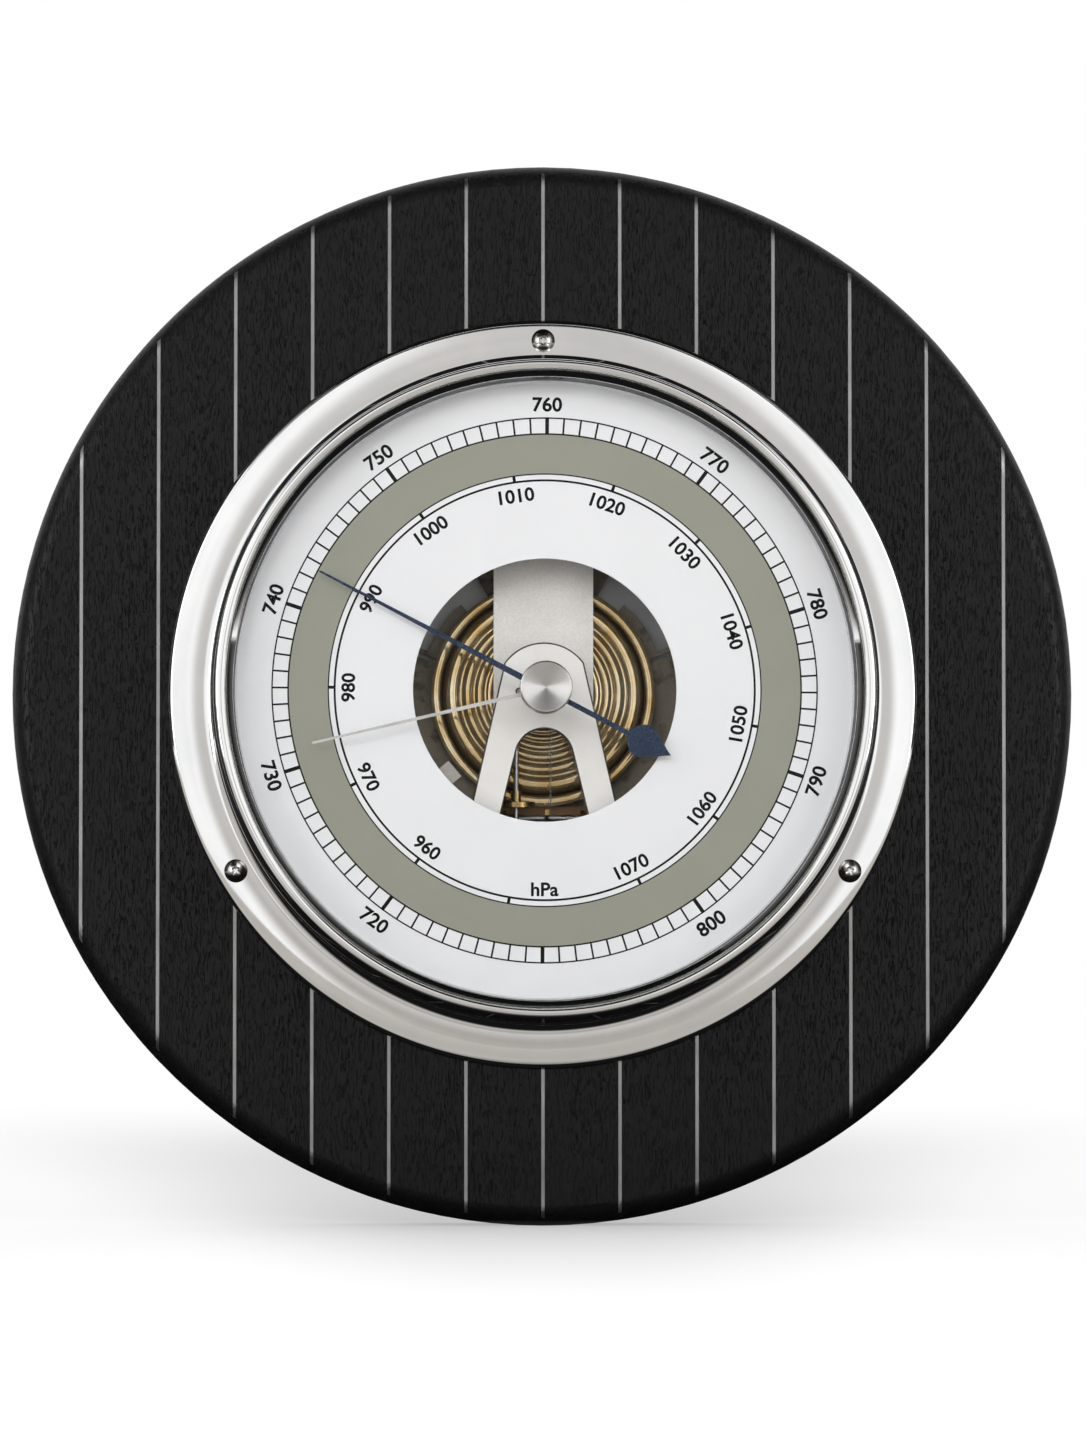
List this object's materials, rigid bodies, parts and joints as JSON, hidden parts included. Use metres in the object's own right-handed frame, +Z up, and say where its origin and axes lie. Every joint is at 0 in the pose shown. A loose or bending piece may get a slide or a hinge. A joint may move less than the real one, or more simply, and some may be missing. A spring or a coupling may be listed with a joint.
{
  "type": "barometer",
  "caption": "Round wall barometer on a black wooden board with inlaid strips: chromed case, open dial, pointer, set hand with knob, and an aneroid movement.",
  "frame": {"origin": "centre of the board's back face, where it rests on the wall", "axes": "+Y into the wall, +Z up, +X to the right as seen from the front; the dial faces -Y"},
  "size_m": [0.21, 0.0527, 0.21],
  "materials": {
    "black_wood": "black stained and satin varnished, fine open pores",
    "inlay_metal": "fine brushed",
    "zinc_steel": "zinc plated, matte",
    "case_chrome": "polished chrome plate",
    "screw_nickel": "nickel plated, bright",
    "gasket_rubber": "matte",
    "clear_glass": "clear and polished",
    "bright_aluminium": "bright turned",
    "dial_white": "silk-matt white with printed scales",
    "dark_plate": "dark grey, dull",
    "movement_steel": "drawn and polished",
    "spring_steel": "mottled satin",
    "movement_brass": "turned and lacquered",
    "capsule_bronze": "pressed, satin",
    "coppered_plate": "coppered, dull",
    "bridge_nickel": "pale and bead blasted",
    "blued_steel": "blue-black, semi-gloss",
    "knob_chrome": "turned and plated",
    "white_nylon": "matte"
  },
  "bodies": {
    "frame": {"board": "black_wood", "inlay_strips": "inlay_metal", "hanger_plate": "zinc_steel", "hanger_screws": "zinc_steel", "case_back": "zinc_steel", "case_shell": "case_chrome", "flange_screws": "screw_nickel", "bezel_ring": "case_chrome", "glass_gasket": "gasket_rubber", "glass": "clear_glass", "spacer_ring": "bright_aluminium", "dial": "dial_white", "dial_sleeve": "bright_aluminium", "base_plate": "dark_plate", "base_posts": "movement_steel", "base_screws": "movement_brass", "limit_tab": "movement_brass", "capsule_rear": "capsule_bronze", "capsule_front": "capsule_bronze", "capsule_stud": "movement_steel", "capsule_nut": "movement_brass", "spring_bracket": "dark_plate", "bracket_screws": "movement_brass", "main_spring": "spring_steel", "clamp_plate": "movement_steel", "clamp_screws": "movement_brass", "rocker_bracket": "coppered_plate", "rocker_rivets": "movement_brass", "chain": "movement_steel", "bridge": "bridge_nickel", "bridge_pillars": "movement_steel", "bridge_screws": "movement_steel", "arbor_bush": "movement_brass", "arbor_cock": "movement_brass", "cock_pillars": "movement_brass", "hairspring": "blued_steel", "hairspring_stud": "movement_steel"},
    "post": {"capsule_post": "movement_steel", "post_pin": "movement_steel"},
    "lever": {"lever_block": "movement_brass", "lever_rod": "movement_steel", "balance_nut": "movement_brass", "lever_link": "movement_steel"},
    "rocker": {"rocker_shaft": "movement_steel", "chain_arm": "movement_brass", "link_arm": "movement_brass"},
    "pointer_group": {"pointer_arbor": "movement_steel", "chain_drum": "movement_brass", "hairspring_collet": "movement_brass", "pointer_hub": "movement_steel", "pointer": "blued_steel"},
    "set_hand_group": {"set_hand": "knob_chrome", "set_hand_hub": "knob_chrome", "friction_washer": "movement_brass", "knob_spindle": "movement_steel", "knob": "knob_chrome", "knob_washer": "white_nylon"},
    "adjuster": {"adjusting_screw": "movement_brass"}
  },
  "joints": [
    {"name": "pointer_turn", "type": "hinge", "parent": "frame", "child": "pointer_group", "pos_m": [0, -0.0386, 0], "axis": [0, 1, 0], "range_deg": [-108, 216], "deforming": ["hairspring"]},
    {"name": "rocker_turn", "type": "hinge", "parent": "frame", "child": "rocker", "pos_m": [0, -0.017, -0.0246], "axis": [1, 0, 0], "range_deg": [-12.01, 24.01], "deforming": ["chain"]},
    {"name": "lever_tilt", "type": "hinge", "parent": "frame", "child": "lever", "pos_m": [0, -0.0199, 0.028], "axis": [1, 0, 0], "range_deg": [-0.48, 0.96], "deforming": ["main_spring"]},
    {"name": "post_slide", "type": "slide", "parent": "frame", "child": "post", "axis": [0, 1, 0], "range_m": [-0.000237, 0.000473], "deforming": ["capsule_front"]},
    {"name": "set_hand_turn", "type": "hinge", "parent": "frame", "child": "set_hand_group", "pos_m": [0, -0.0414, 0], "axis": [0, 1, 0], "continuous": true},
    {"name": "adjusting_screw_turn", "type": "hinge", "parent": "frame", "child": "adjuster", "pos_m": [0, -0.0064, 0.032], "axis": [0, 1, 0], "range_deg": [-180, 180]}
  ],
  "couplings": [
    {"joint": "rocker_turn", "follows": "pointer_turn", "ratio": 0.11111},
    {"joint": "lever_tilt", "follows": "pointer_turn", "ratio": 0.0044617},
    {"joint": "post_slide", "follows": "pointer_turn", "m_per_rad": 0.00012493}
  ]
}
